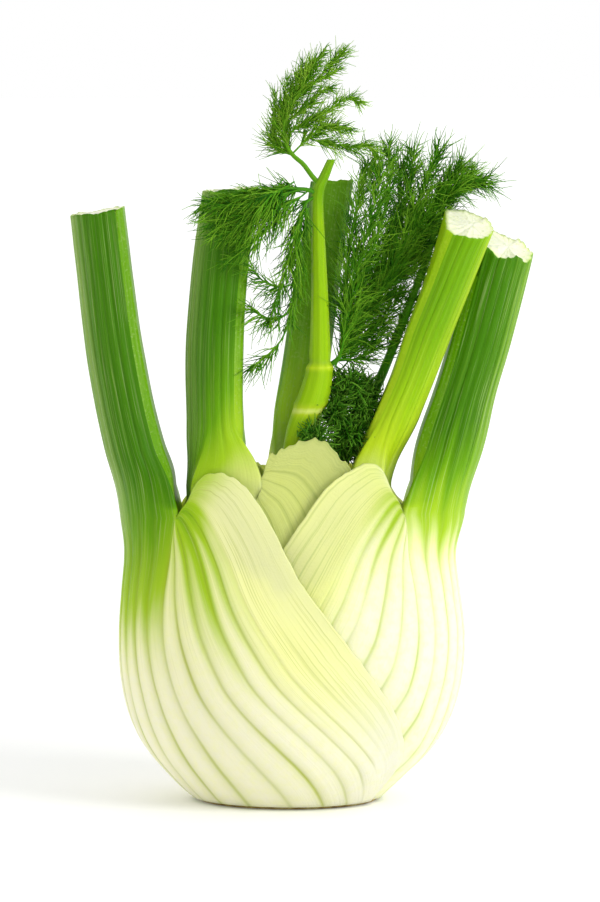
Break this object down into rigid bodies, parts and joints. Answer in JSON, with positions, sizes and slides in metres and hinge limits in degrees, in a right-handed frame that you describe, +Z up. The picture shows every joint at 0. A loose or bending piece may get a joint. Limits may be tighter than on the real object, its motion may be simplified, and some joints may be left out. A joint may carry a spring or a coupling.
{
  "type": "fennel bulb",
  "caption": "Fresh fennel bulb standing on its cut base: ribbed leaf bases wrapped over each other, cut leaf stalks and feathery green fronds.",
  "frame": {"origin": "centre of the flat cut base that the bulb stands on", "axes": "+Z up the bulb to the fronds, -Y to the front where the outer leaf's free margin crosses, +X to the side of the two leaning stalks"},
  "size_m": [0.1339, 0.0686, 0.2187],
  "materials": {
    "outer_leaf": "waxy ribbed leaf base, cream white below, green at the neck and up the stalk",
    "inner_leaf": "waxy ribbed green stalk, paler leaf base",
    "young_leaf": "smooth bright yellow-green stalk",
    "frond": "fine green threads",
    "heart_tuft": "dark green curled threads",
    "cut_base": "cut, slightly browned stem"
  },
  "bodies": {
    "root": {"outer_left_leaf": "outer_leaf", "outer_right_leaf": "outer_leaf", "inner_left_leaf": "inner_leaf", "inner_right_leaf": "inner_leaf", "centre_leaf": "inner_leaf", "young_leaf": "young_leaf", "top_frond": "frond", "left_frond": "frond", "right_frond": "frond", "heart_tuft": "heart_tuft", "cut_base": "cut_base"}
  },
  "joints": []
}
